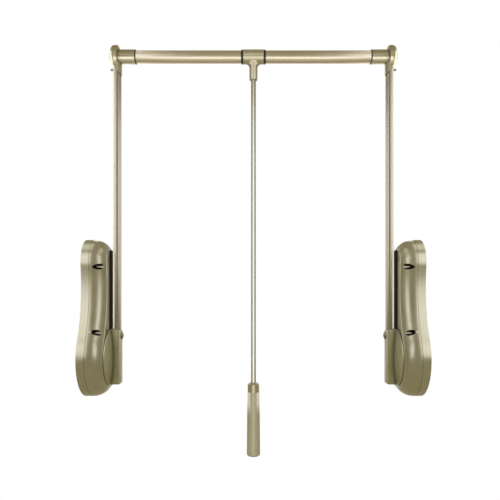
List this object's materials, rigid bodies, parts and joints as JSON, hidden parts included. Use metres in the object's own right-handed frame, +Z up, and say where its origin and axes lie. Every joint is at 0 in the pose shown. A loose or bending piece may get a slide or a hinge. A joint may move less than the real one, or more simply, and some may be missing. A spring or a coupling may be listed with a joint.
{
  "type": "pull down closet rod",
  "caption": "Wardrobe lift whose sprung arms, hinged on wall units, swing a telescopic hanging rail down by a pull rod with a grip.",
  "frame": {"origin": "on the left wall face, where the arms' pivot axis meets the wardrobe's left side panel", "axes": "+X from the left wall to the right wall, +Y away from the user into the wardrobe, +Z up"},
  "size_m": [0.63, 0.146, 0.7798],
  "materials": {
    "housing_plastic": "moulded ABS with champagne metallic paint",
    "cast_metal": "die cast, champagne metallic paint",
    "tube_metal": "drawn steel tube, champagne metallic paint",
    "grip_plastic": "moulded ABS with champagne metallic paint",
    "black_plastic": "moulded nylon",
    "black_rubber": "moulded rubber",
    "plain_steel": "zinc plated",
    "spring_steel": "oiled",
    "bolt_steel": "nickel plated",
    "acetal": "moulded acetal"
  },
  "bodies": {
    "left_wall_unit": {"left_base_shell": "housing_plastic", "left_cover_shell": "housing_plastic", "left_back_plate": "plain_steel", "left_pivot_bushes": "acetal", "left_rack_guide": "acetal", "left_spring_bridge": "plain_steel", "left_springs": "spring_steel", "left_damper_cylinder": "plain_steel", "left_arm_stop": "black_rubber"},
    "left_rack_slider": {"left_rack": "plain_steel", "left_damper_rod": "plain_steel"},
    "left_swing_arm": {"left_pivot_shaft": "plain_steel", "left_shaft_clip": "spring_steel", "left_pivot_gear": "plain_steel", "left_arm_hub": "cast_metal", "left_hub_bolt": "bolt_steel", "left_arm_tube": "tube_metal", "left_rail_bracket": "cast_metal", "left_rail_ring": "black_plastic", "left_rail_bolt": "bolt_steel", "left_set_screw": "bolt_steel", "left_rail_plug": "black_plastic", "left_rail_tube": "tube_metal"},
    "right_wall_unit": {"right_base_shell": "housing_plastic", "right_cover_shell": "housing_plastic", "right_back_plate": "plain_steel", "right_pivot_bushes": "acetal", "right_rack_guide": "acetal", "right_spring_bridge": "plain_steel", "right_springs": "spring_steel", "right_damper_cylinder": "plain_steel", "right_arm_stop": "black_rubber"},
    "right_rack_slider": {"right_rack": "plain_steel", "right_damper_rod": "plain_steel"},
    "right_swing_arm": {"right_pivot_shaft": "plain_steel", "right_shaft_clip": "spring_steel", "right_pivot_gear": "plain_steel", "right_arm_hub": "cast_metal", "right_hub_bolt": "bolt_steel", "right_arm_tube": "tube_metal", "right_rail_bracket": "cast_metal", "right_rail_ring": "black_plastic", "right_rail_bolt": "bolt_steel", "right_set_screw": "bolt_steel", "right_rail_plug": "black_plastic", "right_rail_tube": "tube_metal"},
    "rail_middle": {"rail_core_tube": "tube_metal", "rail_collars": "black_plastic"},
    "pull_rod": {"pull_tee": "cast_metal", "pull_tube": "tube_metal", "grip_collar": "grip_plastic", "grip_handle": "grip_plastic"}
  },
  "joints": [
    {"name": "left_arm_swing", "type": "hinge", "parent": "left_wall_unit", "child": "left_swing_arm", "pos_m": [0, 0, 0], "axis": [1, 0, 0], "range_deg": [0, 100], "stiffness_Nm_per_rad": 3, "springref_deg": -34.38},
    {"name": "width_adjust", "type": "slide", "parent": "left_wall_unit", "child": "right_wall_unit", "axis": [1, 0, 0], "range_m": [0, 0.2]},
    {"name": "right_arm_swing", "type": "hinge", "parent": "right_wall_unit", "child": "right_swing_arm", "pos_m": [0.63, 0, 0], "axis": [1, 0, 0], "range_deg": [0, 100], "stiffness_Nm_per_rad": 3, "springref_deg": -34.38},
    {"name": "rail_middle_slide", "type": "slide", "parent": "left_swing_arm", "child": "rail_middle", "axis": [1, 0, 0], "range_m": [0, 0.1]},
    {"name": "pull_rod_swing", "type": "hinge", "parent": "rail_middle", "child": "pull_rod", "pos_m": [0.315, 0, 0.571], "axis": [1, 0, 0], "continuous": true},
    {"name": "left_rack_slide", "type": "slide", "parent": "left_wall_unit", "child": "left_rack_slider", "axis": [0, 0, 1], "range_m": [0, 0.0252], "deforming": ["left_springs"]},
    {"name": "right_rack_slide", "type": "slide", "parent": "right_wall_unit", "child": "right_rack_slider", "axis": [0, 0, 1], "range_m": [0, 0.0252], "deforming": ["right_springs"]}
  ],
  "couplings": [
    {"joint": "right_arm_swing", "follows": "left_arm_swing", "ratio": 1},
    {"joint": "left_rack_slide", "follows": "left_arm_swing", "m_per_rad": 0.0144},
    {"joint": "right_rack_slide", "follows": "left_arm_swing", "m_per_rad": 0.0144},
    {"joint": "rail_middle_slide", "follows": "width_adjust", "ratio": 0.5}
  ]
}
